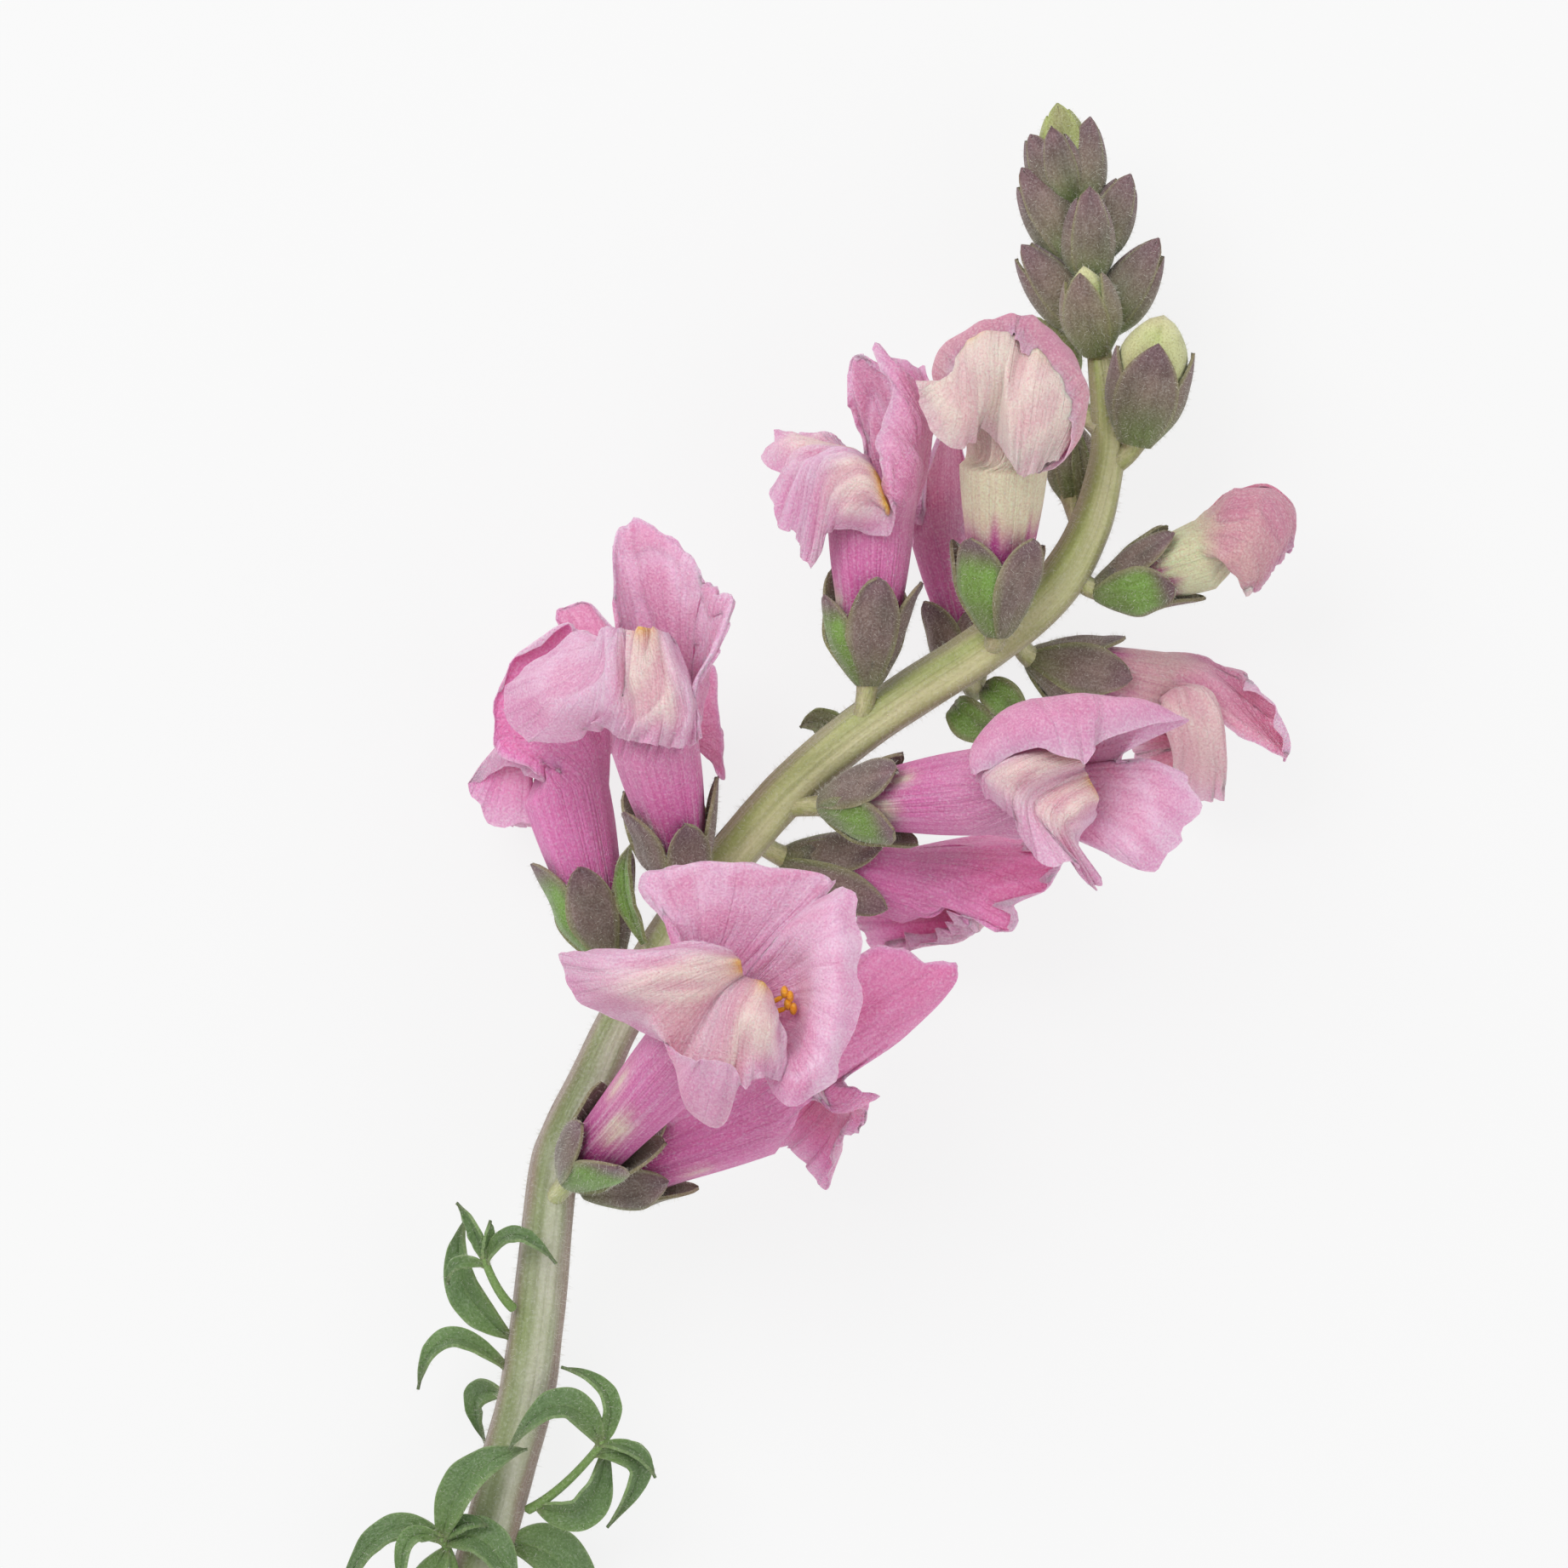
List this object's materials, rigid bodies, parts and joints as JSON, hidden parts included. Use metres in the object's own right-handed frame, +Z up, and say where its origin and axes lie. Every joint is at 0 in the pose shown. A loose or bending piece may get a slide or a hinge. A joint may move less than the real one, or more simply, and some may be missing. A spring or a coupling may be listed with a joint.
{
  "type": "snapdragon flower spike",
  "caption": "Cut flower spike with ruffled two-lipped pink blooms, closed buds at the tip and small leafy shoots, lying on a surface.",
  "frame": {"origin": "middle of the bounding box, on the surface that the spike lies on", "axes": "+Y towards the bud tip, +Z up from the surface, so the front blooms face +Z"},
  "size_m": [0.1164, 0.191, 0.0522],
  "materials": {
    "petal": "soft matt pink petals, deep magenta tubes, cream palates",
    "sepal": "matt purple-brown and green, finely hairy",
    "stem": "satin yellow-green with purple-brown flanks",
    "leaf": "satin green",
    "stamen": "matt orange-yellow"
  },
  "bodies": {
    "root": {"stem": "stem", "corolla_01": "petal", "calyx_01": "sepal", "corolla_02": "petal", "calyx_02": "sepal", "corolla_03": "petal", "calyx_03": "sepal", "corolla_04": "petal", "calyx_04": "sepal", "corolla_05": "petal", "calyx_05": "sepal", "corolla_06": "petal", "calyx_06": "sepal", "corolla_07": "petal", "calyx_07": "sepal", "corolla_08": "petal", "calyx_08": "sepal", "corolla_09": "petal", "calyx_09": "sepal", "corolla_10": "petal", "calyx_10": "sepal", "corolla_11": "petal", "calyx_11": "sepal", "corolla_12": "petal", "calyx_12": "sepal", "stamens_01": "stamen", "bud_head": "sepal", "bud_01": "sepal", "bud_02": "sepal", "bud_03": "sepal", "leaf_01": "leaf", "shoot_01": "leaf", "leaf_02": "leaf", "leaf_03": "leaf", "shoot_04": "leaf", "shoot_05": "leaf", "leaf_06": "leaf", "leaf_07": "leaf"}
  },
  "joints": []
}
